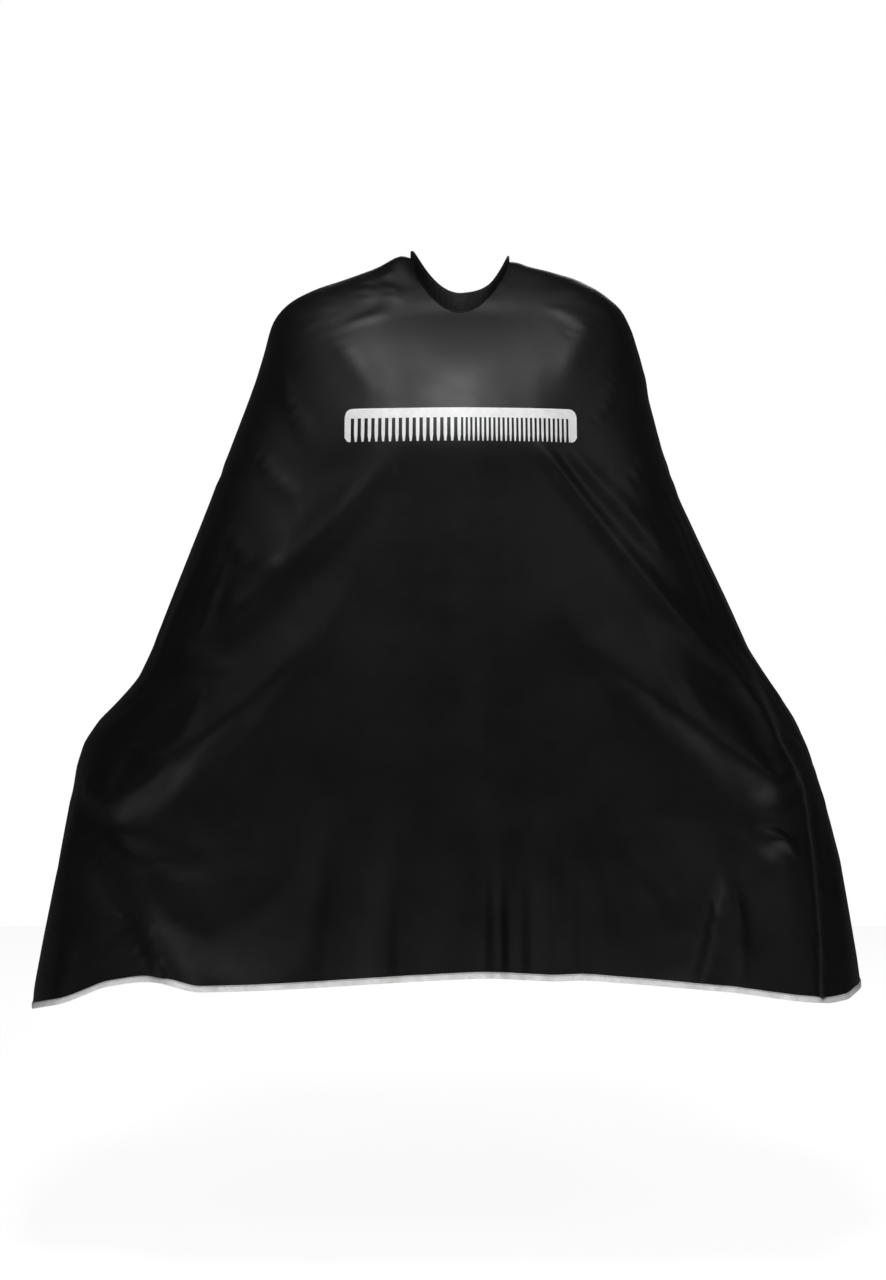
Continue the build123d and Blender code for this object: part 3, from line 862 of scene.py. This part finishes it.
def cloth_piece(part):
    """A thin closed sheet: outer face, inner face and the edge round both."""
    first, last = SPANS[part]
    outer, normal = FINE[first : last + 1], FINE_NORMAL[first : last + 1]
    inner = outer - THICK * normal
    columns, rows = outer.shape[:2]
    size = columns * rows
    index = np.arange(size).reshape(columns, rows)
    rim = np.concatenate([index[:, 0], index[-1, 1:], index[-2::-1, -1], index[0, -2:0:-1]])
    ahead = np.roll(rim, -1)
    front = grid_faces(columns, rows)
    edge = np.stack([rim, rim + size, ahead + size, ahead], -1)
    faces = np.concatenate([front, front[:, ::-1] + size, edge])
    name = "cape_front" if part == "front" else part + "_back_cloth"
    obj = new_object(name, np.stack([outer, inner]), faces, SATIN)
    if np.array(obj.data.polygons[0].normal) @ normal[0, 0] < 0:
        obj.data.flip_normals()
    both = np.stack([normal, -normal]).reshape(-1, 3)
    obj.data.normals_split_custom_set_from_vertices(both.tolist())
    settle(obj, "cape_cloth", part, PARTS[part] + "_panel")


for part in PARTS:
    cloth_piece(part)

# ---- hem binding ------------------------------------------
TAPE_PROFILE = (  # distance up from the hem and height over the cloth's outer face, mm
    (7.0, 0.1), (6.8, 0.75), (4.8, 1.15), (2.0, 1.05), (-0.2, 0.8), (-1.1, 0.1),
    (-1.3, -0.6), (-0.9, -1.4), (2.0, -1.9), (4.8, -2.0), (6.8, -1.6), (7.0, -0.9),
)
SEAM_UP = 0.0055  # the stitches' distance up from the hem
SEAM_HEIGHT = 0.0009  # and their height over the cloth


def along_column(column, distance):
    """Point and outward normal at a distance up from the hem. A negative distance is past the hem."""
    points, normals = FINE[column, ::-1], FINE_NORMAL[column, ::-1]
    if distance < 0:
        step = points[0] - points[1]
        return points[0] - distance * step / np.linalg.norm(step), normals[0]
    run = np.concatenate([[0], np.cumsum(np.linalg.norm(np.diff(points[:6], axis=0), axis=1))])
    place = [np.interp(distance, run, points[:6, k]) for k in range(3)]
    way = [np.interp(distance, run, normals[:6, k]) for k in range(3)]
    return np.array(place), np.array(way) / np.linalg.norm(way)


def binding(part):
    """Tape folded round the hem, and its row of stitches."""
    first, last = SPANS[part]
    stations, seam, seam_normals = [], [], []
    for column in range(first, last + 1):
        ring = [(along_column(column, up / 1000), height / 1000) for up, height in TAPE_PROFILE]
        stations.append([point + height * normal for (point, normal), height in ring])
        point, normal = along_column(column, SEAM_UP)
        seam.append(point + SEAM_HEIGHT * normal)
        seam_normals.append(normal)
    name = PARTS[part]
    settle(sweep(name + "_hem_tape", stations, TAPE), "binding", part, name + "_hem_binding")
    settle(stitches(name + "_hem_stitches", seam, seam_normals, THREAD_GREY), "binding", part)


for part in PARTS:
    binding(part)

# ---- neckband ---------------------------------------------
BAND = joined_tree([name + "_band_cover" for name in PARTS.values()])
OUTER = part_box("front_band_cover")[1].x
INNER = OUTER - 0.003
FINE_THREAD = 0.00028
BAND_STEPS = 320
FOLD_TURN = 2.13  # where the CAD band is notched for the flaps' fold
NOTCH = 0.13  # half the notch's turn


def band_edges():
    """Top and bottom heights of the band at even turns from the front, as the CAD cover has them."""
    turns = np.linspace(-math.pi, math.pi, BAND_STEPS + 1)
    edges = []
    for way in (-1, 1):
        hits = []
        for turn in turns:
            spot = Vector((math.sin(turn), -math.cos(turn), 0)) * (OUTER - 0.0004)
            hit = BAND.ray_cast(spot + upright(-0.3 * way), upright(way))[0]
            hits.append(hit.z if hit else np.nan)
        heights = np.array(hits)
        gap = np.isnan(heights) | (np.abs(np.abs(turns) - FOLD_TURN) < NOTCH)
        heights[gap] = np.interp(turns[gap], turns[~gap], heights[~gap])
        edges.append(heights)
    return turns, *edges


BAND_TURNS, BAND_TOP, BAND_BOTTOM = band_edges()
# worn, the band stands lower from the front round its right side, and dips a little at its left
BAND_TOP -= 0.0115 * ramp(BAND_TURNS, 0.05, 0.75) * (1 - ramp(BAND_TURNS, 2.25, 0.6))
BAND_TOP -= 0.0055 * bell(BAND_TURNS, -1.60, 0.32)
BAND_BOTTOM += np.interp(BAND_TURNS, ANGLES, NECK_LIFT)
BAND_BOTTOM = np.minimum(BAND_BOTTOM, np.interp(BAND_TURNS, ANGLES, CLOTH[:, 0, 2]) - 0.0015)
SLIT_TURN = math.asin(SLIT_HALF / OUTER)
FELT_TURN = 0.03  # the felt ends this far from the slit
FELT_HALF = 0.0004  # half its thickness


def band_point(turn, radius, share, lift=0.0):
    """A point at a share of the band's height."""
    top = np.interp(turn, BAND_TURNS, BAND_TOP)
    bottom = np.interp(turn, BAND_TURNS, BAND_BOTTOM)
    height = bottom + share * (top - bottom) + lift
    return np.array([radius * math.sin(turn), -radius * math.cos(turn), height])


def pucker(turn, share):
    """Small gathers where the band is sewn to the cloth."""
    wave = math.sin(61 * turn + 2 * math.sin(7 * turn)) + 0.6 * math.sin(97 * turn + 1.3)
    return 0.00022 * wave * (1 - share) ** 2


def band_turns(part, count, margin):
    """Even turns along a part of the band, which ends a margin short of the slit."""
    side, end = math.pi / 2, math.pi - margin
    first, last = {"front": (-side, side), "left": (-end, -side), "right": (side, end)}[part]
    return np.linspace(first, last, 2 * count - 1 if part == "front" else count)


def band_profile(turn):
    """Up the outer face, over the rolled edge and down the inner face."""
    ring = []
    for share in (-0.07, 0.0, 0.08, 0.3, 0.55, 0.8, 0.93):
        bow = 0.0005 * math.sin(math.pi * min(1, max(0, share)))
        ring.append(band_point(turn, OUTER - 0.0002 + bow + pucker(turn, max(0, share)), share))
    for angle in np.linspace(0.3, math.pi - 0.3, 5):
        middle, half = (OUTER + INNER) / 2, (OUTER - INNER) / 2
        point = band_point(turn, middle + half * math.cos(angle), 1.0, -0.0014 + 0.0014 * math.sin(angle))
        ring.append(point)
    for share in (0.93, 0.8, 0.55, 0.3, 0.08, -0.07):
        ring.append(band_point(turn, INNER + 0.0001, share))
    return ring


def neckband(part):
    """The band's cover and lining in one, with three rows of stitches."""
    turns, name = band_turns(part, 81, SLIT_TURN), PARTS[part]
    obj = sweep(name + "_neckband", [band_profile(t) for t in turns], SATIN)
    settle(obj, "cape_cloth", part, name + "_band_cover", name + "_band_lining")
    rows = (("seam", 0.10, OUTER + 0.0001, 1), ("edge", 0.86, OUTER + 0.0001, 1), ("lining", 0.86, INNER, -1))
    for label, share, radius, way in rows:
        path = [band_point(t, radius + (pucker(t, share) if way > 0 else 0), share) for t in turns]
        normals = [way * np.array([math.sin(t), -math.cos(t), 0]) for t in turns]
        thread = stitches(f"{name}_band_{label}_stitches", path, normals, THREAD_BLACK, thick=FINE_THREAD)
        settle(thread, "cape_cloth", part)


def stiffener(part):
    """The felt inside the band. It ends a little short of the band's edges."""
    outside, inside = (OUTER + INNER) / 2 + FELT_HALF, (OUTER + INNER) / 2 - FELT_HALF
    ring = ((outside, 0.03), (outside, 0.9), (inside, 0.9), (inside, 0.03))
    turns = band_turns(part, 46, FELT_TURN)
    stations = [[band_point(t, radius, share) for radius, share in ring] for t in turns]
    obj = sweep(PARTS[part] + "_band_felt", stations, INTERLINING)
    settle(obj, "interlining", part, PARTS[part] + "_band_interlining")


for part in PARTS:
    neckband(part)
    stiffener(part)

# ---- closing tab ------------------------------------------
TAB_LOW, TAB_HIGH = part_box("tab_cover")
TAB_RADIUS = OUTER + 0.0022
TAB_THICK = 0.0019
TAB_ROUND = 0.010  # length of the rounded end
TAB_STEPS, TAB_ROWS = 41, 9


def tab_stations():
    """A strap with a rounded free end, as thick as the CAD's two layers."""
    start = math.pi - TAB_HIGH.x / TAB_RADIUS
    end = math.pi + math.asin(-TAB_LOW.x / TAB_RADIUS)
    length = (end - start) * TAB_RADIUS
    stations = []
    for step in np.linspace(0, 1, TAB_STEPS):
        step = step if step < 0.7 else 0.7 + 0.3 * math.sin((step - 0.7) / 0.3 * math.pi / 2)
        turn = start + step * (end - start)
        wrapped = turn if turn <= math.pi else turn - 2 * math.pi
        from_end = (1 - step) * length
        pinch = 1 - math.sqrt(max(0, 1 - (1 - min(1, from_end / TAB_ROUND)) ** 2))
        low, high = 0.10 + 0.42 * pinch, 0.995 - 0.42 * pinch
        ring = []
        for share in np.linspace(low, high, TAB_ROWS):
            bow = 0.0003 * math.sin(math.pi * (share - low) / max(1e-6, high - low))
            ring.append(band_point(wrapped, TAB_RADIUS + TAB_THICK + bow, share))
        for share in np.linspace(high, low, TAB_ROWS):
            ring.append(band_point(wrapped, TAB_RADIUS + 0.0001, share))
        stations.append(ring)
    return stations


def closing_tab():
    """The strap, and the stitches round its edge."""
    stations = tab_stations()
    settle(sweep("closing_tab", stations, SATIN), "cape_cloth", "closing_tab", "tab_cover", "tab_lining")
    outer = np.array(stations)[:-1, :TAB_ROWS]
    inset = 0.12
    upper = outer[:, -1] * (1 - inset) + outer[:, 0] * inset
    lower = outer[:, 0] * (1 - inset) + outer[:, -1] * inset
    path = np.concatenate([upper[1:-2], lower[-3:0:-1]])
    normals = path * np.array([1, 1, 0])
    thread = stitches("closing_tab_stitches", path, normals, THREAD_BLACK, thick=FINE_THREAD)
    settle(thread, "cape_cloth", "closing_tab")


closing_tab()

# ---- slit facings, loop and label -------------------------


def facing(part):
    """A strip inside the slit's edge, hemmed, following the cloth."""
    side = -1 if part == "left" else 1
    low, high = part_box(part + "_slit_facing")
    reach = abs(high.x) if side > 0 else abs(low.x)
    columns = slice(0, 60) if side < 0 else slice(LAST, LAST - 60, -1)
    stations = []
    for row in range(6, 2 * ROWS - 4):
        points, normals = FINE[columns, row], FINE_NORMAL[columns, row]
        across = np.abs(points[:, 0])
        outer, inner = [], []
        for width in np.linspace(0.0022, reach, 7):
            place = np.array([side * width, *(np.interp(width, across, points[:, k]) for k in (1, 2))])
            way = np.array([np.interp(width, across, normals[:, k]) for k in range(3)])
            outer.append(place - (THICK + 0.0003) * way)
            inner.append(place - (THICK + 0.0011) * way)
        stations.append(outer + inner[::-1])
    obj = sweep(part + "_slit_strip", stations, LINING)
    settle(obj, "cape_cloth", part + "_flap", part + "_slit_facing")
    stations = np.array(stations)
    path = stations[:, 8] * 0.85 + stations[:, 12] * 0.15
    normals = np.cross(np.gradient(path, axis=0), np.array([side, 0, 0]))
    if normals[:, 1].mean() > 0:
        normals = -normals
    thread = stitches(part + "_slit_stitches", path, normals, THREAD_BLACK, pitch=0.004, length=0.003)
    settle(thread, "cape_cloth", part + "_flap")


facing("left")
facing("right")


def back_box(node):
    """A CAD node's middle and size, and the directions down and out of the flat of the back there."""
    low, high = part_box(node)
    axis = joint_named("right_flap_swing")["axis"]
    slope = abs(axis[1] / axis[2])
    down, out = Vector((0, slope, -1)).normalized(), Vector((0, 1, slope)).normalized()
    return (low + high) / 2, high - low, down, out


def loop_piece():
    """Webbing doubled back on itself, a little fuller at the fold than at the sewn top."""
    centre, size, lean, out = back_box("hanging_loop")
    length = size.y * abs(lean.y) + size.z * abs(lean.z) - 0.0012
    half, depth, wall, turns = size.x / 2, 0.0019, 0.0009, 64
    path = []
    for turn in np.linspace(0, 2 * math.pi, turns + 1)[:-1]:
        reach = math.copysign(abs(math.cos(turn)) ** 0.35, math.cos(turn))
        puff = math.sin(turn) * (0.75 + 0.25 * reach)
        path.append((reach * (length / 2 - wall), puff * depth))
    face = ((-1, 1), (-0.9, 1.15), (0, 1.2), (0.9, 1.15), (1, 1))
    stations = []
    for number, (along, off) in enumerate(path):
        after, before = path[(number + 1) % turns], path[number - 1]
        step = Vector((after[0] - before[0], after[1] - before[1])).normalized()
        ring = []
        for across, side in face + tuple((-across, -side) for across, side in face):
            swing = Vector((step.y, -step.x)) * side * wall / 2.4
            place = centre + lean * (along + swing.x) + out * (off + swing.y)
            ring.append(place + Vector((across * half, 0, 0)))
        stations.append(ring)
    settle(sweep("hanging_loop_webbing", stations, WEBBING, loop=True), "webbing", "loop", "hanging_loop")


loop_piece()


def label_piece():
    """A blank ribbon with rounded corners, curling a little."""
    centre, size, lean, out = back_box("care_label")
    length = size.z / abs(lean.z) - 0.0004
    stations = []
    for along in np.linspace(-0.5, 0.5, 25):
        upper, lower = [], []
        for across in np.linspace(-0.5, 0.5, 11):
            corner = 0.0012 * max(0, (abs(across) - 0.4) / 0.1) ** 2 * (1 if abs(along) > 0.49 else 0)
            curl = -0.0004 * (along + 0.5) ** 2 * (1 + math.cos(2 * math.pi * across))
            down = lean * (along * length - math.copysign(corner, along))
            place = centre + down + Vector((across * size.x, 0, 0))
            upper.append(place + out * (0.0002 + curl))
            lower.append(place + out * (-0.0002 + curl))
        stations.append(upper + lower[::-1])
    settle(sweep("care_label_ribbon", stations, LABEL), "label", "label", "care_label")


label_piece()

# ---- chest print: a barber's comb -------------------------
FRONT = FINE[SPANS["front"][0] : SPANS["front"][1] + 1]
FRONT_TREE = BVHTree.FromPolygons(FRONT.reshape(-1, 3).tolist(), grid_faces(*FRONT.shape[:2]).tolist())
PRINT_LOW, PRINT_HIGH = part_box("chest_print")
SPINE = 0.0130  # height of the comb's back
GUARD = 0.008  # width of the solid tooth at each end
COARSE, FINE_TEETH = 16, 24
SPINE_ROWS, TOOTH_ROWS = 3, 7
FILM_HEIGHT, FILM_THICK = 0.0004, 0.0003  # over the cloth
CORNER = 0.006  # radius of the guards' outer corners


def on_chest(x, z):
    """The film's point at x and z, in front of the cloth."""
    hit, normal = FRONT_TREE.ray_cast(Vector((x, -1, z)), Vector((0, 1, 0)))[:2]
    return hit - normal * FILM_HEIGHT if normal.y > 0 else hit + normal * FILM_HEIGHT


def comb_columns():
    """Edges of every tooth from one end to the other, with what stands between them."""
    half = (PRINT_HIGH.x - PRINT_LOW.x) / 2 - GUARD
    spans = [(PRINT_LOW.x, PRINT_LOW.x + GUARD, "guard")]
    for count, start in ((COARSE, -half), (FINE_TEETH, 0)):
        pitch = half / count
        for tooth in range(count):
            left = start + tooth * pitch
            spans += [(left, left + pitch / 2, "gap"), (left + pitch / 2, left + pitch, "tooth")]
    spans[-1] = (spans[-1][0], spans[-1][1], "tooth")
    spans += [(half, PRINT_HIGH.x, "guard")]
    return spans


def from_comb_end(x):
    return min(x - PRINT_LOW.x, PRINT_HIGH.x - x)


def spine_point(x, row):
    """A point some rows up the spine, whose top edge is round at both ends."""
    foot, bow = PRINT_HIGH.z - SPINE, 0.8 * SPINE
    share = max(0, 1 - from_comb_end(x) / bow)
    crown = PRINT_HIGH.z - bow * (1 - math.sqrt(max(0, 1 - share**2)))
    return x, foot + (crown - foot) * row / SPINE_ROWS


def tooth_point(x, row, inwards, kind):
    """A point some rows down a tooth, which narrows at its tip, or a guard, round at its corner."""
    foot, bottom = PRINT_HIGH.z - SPINE, PRINT_LOW.z
    z = foot + (bottom - foot) * row / TOOTH_ROWS
    if kind == "tooth":
        return x + 0.22 * max(0, row - TOOTH_ROWS + 2) / 2 * inwards, z
    rise = CORNER * max(0, 1 - from_comb_end(x) / CORNER) ** 2
    return x, z + rise * (foot - z) / (foot - bottom)


def comb_print():
    """A film on the cloth, made of one sheet of faces with a small thickness."""
    work = bmesh.new()
    points = {}

    def face(*corners):
        keys = [(round(x, 6), round(z, 6)) for x, z in corners]
        for key, (x, z) in zip(keys, corners):
            if key not in points:
                points[key] = work.verts.new(on_chest(x, z))
        work.faces.new([points[key] for key in keys])

    for left, right, kind in comb_columns():
        strips = 4 if kind == "guard" else 1
        for strip in range(strips):
            a, b = (left + (right - left) * s / strips for s in (strip, strip + 1))
            for row in range(SPINE_ROWS):
                face(*(spine_point(x, k) for x, k in ((a, row), (b, row), (b, row + 1), (a, row + 1))))
            for row in range(0 if kind == "gap" else TOOTH_ROWS):
                lower = [tooth_point(x, row + 1, inwards, kind) for x, inwards in ((a, b - a), (b, a - b))]
                upper = [tooth_point(x, row, inwards, kind) for x, inwards in ((b, a - b), (a, b - a))]
                face(*lower, *upper)
    bmesh.ops.recalc_face_normals(work, faces=work.faces)
    obj = new_object("chest_comb_print", [], [], PRINT)
    work.to_mesh(obj.data)
    work.free()
    if obj.data.polygons[0].normal.y > 0:
        obj.data.flip_normals()
    thick = obj.modifiers.new("Thickness", "SOLIDIFY")
    thick.thickness, thick.offset = FILM_THICK, -1
    settle(obj, "print", "cape", "chest_print")


comb_print()

# ---- the snaps, which are the CAD's own solids ------------
KEPT = {
    "stud_posts": PLATED, "snap_studs": PLATED, "snap_sockets": PLATED,
    "socket_springs": SPRING, "snap_caps": ENAMEL,
}
for node, material in KEPT.items():
    NODES[node].data.materials.clear()
    NODES[node].data.materials.append(material)

# ---- floor, light and camera ------------------------------
GROUND = -1.32


def studio_floor():
    """A pale floor that reads as white, without throwing much of its light back up at the cape."""
    look = Look("studio_floor", (0.60, 0.60, 0.59), 0.9)
    look.vary("Roughness", look.noise(3, 2), 0.85, 0.95)
    glow = look.math("MULTIPLY", look.node("ShaderNodeLightPath").outputs["Is Camera Ray"], 0.85)
    look.link(glow, look.shader.inputs["Emission Strength"])
    look.set("Emission Color", (1, 1, 1, 1))
    corners = [(x, y, GROUND) for x in (-8, 8) for y in (-8, 3)]
    new_object("studio_floor", corners, [(0, 2, 3, 1)], look.material)


def soft_light(name, place, aim, size, power, spread=180):
    data = bpy.data.lights.new(name, "AREA")
    data.shape = "RECTANGLE"
    data.size, data.size_y = size
    data.energy = power
    data.spread = math.radians(spread)
    obj = bpy.data.objects.new(name, data)
    obj.location = place
    obj.rotation_euler = (Vector(aim) - Vector(place)).to_track_quat("-Z", "Y").to_euler()
    obj.visible_camera = False
    bpy.context.scene.collection.objects.link(obj)


def studio_world():
    """White behind the cape, with a dim room around it."""
    world = bpy.data.worlds.new("studio")
    bpy.context.scene.world = world
    world.use_nodes = True
    nodes, links = world.node_tree.nodes, world.node_tree.links
    room, backdrop = nodes["Background"], nodes.new("ShaderNodeBackground")
    for background, strength in ((room, 0.056), (backdrop, 1.0)):
        background.inputs["Color"].default_value = (1, 1, 1, 1)
        background.inputs["Strength"].default_value = strength
    path, mix = nodes.new("ShaderNodeLightPath"), nodes.new("ShaderNodeMixShader")
    links.new(path.outputs["Is Camera Ray"], mix.inputs["Fac"])
    links.new(room.outputs["Background"], mix.inputs[1])
    links.new(backdrop.outputs["Background"], mix.inputs[2])
    links.new(mix.outputs["Shader"], nodes["World Output"].inputs["Surface"])


studio_floor()
studio_world()
soft_light("key", (-0.03, -1.50, 1.85), (0, -0.1, -0.2), (0.5, 0.5), 14)
soft_light("chest", (-0.04, -0.95, 0.75), (-0.01, -0.13, -0.12), (0.34, 0.20), 0.55, 40)
soft_light("hem", (0.0, -0.9, -1.28), (0, -0.2, -0.95), (2.2, 0.15), 8)
soft_light("left_key", (-1.9, -1.9, 1.1), (-0.2, -0.1, -0.45), (0.5, 0.7), 3)
soft_light("right_key", (2.0, -2.0, 0.9), (0.2, -0.1, -0.45), (0.5, 0.7), 5.5)
soft_light("back", (0.3, 2.6, 1.6), (0, 0.3, -0.3), (1.6, 1.0), 18)

lens = bpy.data.cameras.new("camera")
lens.sensor_width, lens.lens = 36, 53.8
camera = bpy.data.objects.new("camera", lens)
camera.location = EYE
camera.rotation_euler = (math.pi / 2, 0, 0)
bpy.context.scene.collection.objects.link(camera)
bpy.context.scene.camera = camera
bpy.context.scene.view_settings.view_transform = "Standard"

bpy.context.view_layer.update()
